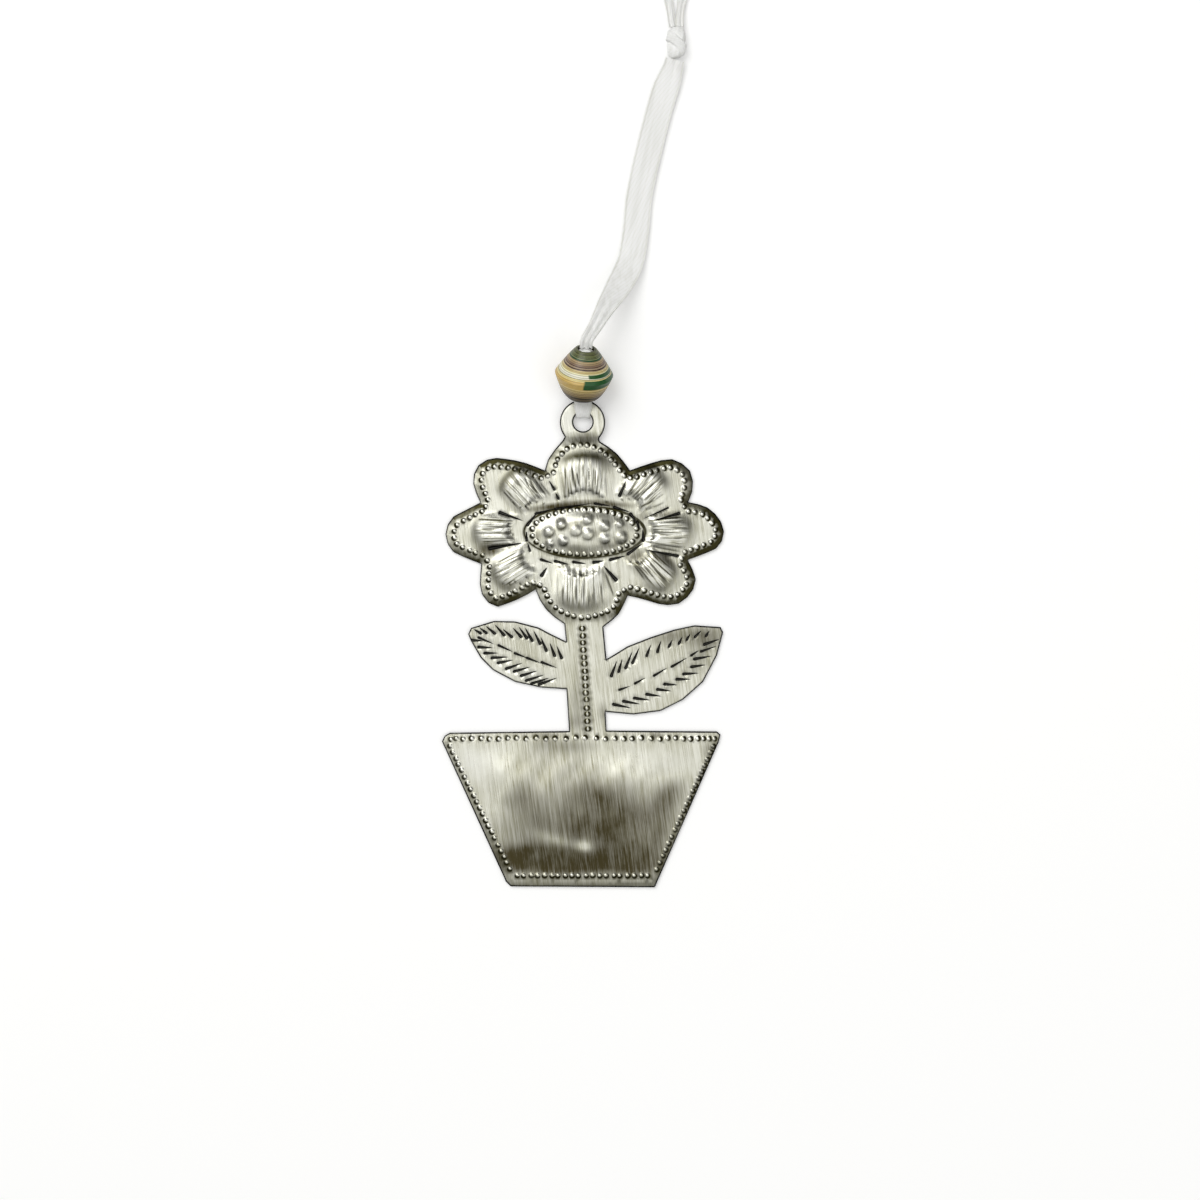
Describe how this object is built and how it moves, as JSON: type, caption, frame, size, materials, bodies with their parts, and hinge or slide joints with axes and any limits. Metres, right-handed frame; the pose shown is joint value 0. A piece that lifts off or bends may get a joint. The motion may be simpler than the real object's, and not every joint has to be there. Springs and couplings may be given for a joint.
{
  "type": "potted flower ornament",
  "caption": "Flat hanging ornament: a flower in a pot cut and embossed from sheet steel, on a folded satin ribbon that passes through a rolled paper bead.",
  "frame": {"origin": "on the surface that the ornament lies on, under the middle of the plate and bead together", "axes": "+X to the right of the flower, +Y up the plant towards the ribbon, +Z out of the embossed face"},
  "size_m": [0.0648, 0.219, 0.0118],
  "materials": {
    "steel": "hand-brushed sheet steel with dark chisel marks",
    "rolled_paper": "rolled printed paper in thin coloured bands under clear varnish",
    "satin_ribbon": "white woven satin with a soft sheen"
  },
  "bodies": {
    "plate": {"embossed_plate": "steel"},
    "bight": {"ribbon_bight": "satin_ribbon"},
    "ribbon": {"ribbon_neck": "satin_ribbon", "ribbon_leg_front": "satin_ribbon", "ribbon_leg_back": "satin_ribbon", "ribbon_knot": "satin_ribbon", "ribbon_tail_left": "satin_ribbon", "ribbon_tail_right": "satin_ribbon"},
    "bead_run": {"ribbon_core": "satin_ribbon"},
    "bead": {"paper_bead": "rolled_paper"}
  },
  "joints": [
    {"name": "ribbon_swing", "type": "hinge", "parent": "plate", "child": "bight", "pos_m": [0.00003, 0.04485, 0.0015], "axis": [0, 0, 1], "range_deg": [-75, 75]},
    {"name": "ribbon_lift", "type": "hinge", "parent": "bight", "child": "ribbon", "pos_m": [0.00003, 0.0503, 0.0015], "axis": [1, 0, 0], "range_deg": [0, 40], "deforming": ["ribbon_neck"]},
    {"name": "bead_slide", "type": "slide", "parent": "ribbon", "child": "bead_run", "axis": [0.2669, 0.9637, 0], "range_m": [0, 0.062], "deforming": ["ribbon_neck", "ribbon_leg_front", "ribbon_leg_back"]},
    {"name": "bead_spin", "type": "hinge", "parent": "bead_run", "child": "bead", "pos_m": [0.00033, 0.0555, 0.0061], "axis": [0.0731, 0.8355, 0.5446], "continuous": true}
  ]
}
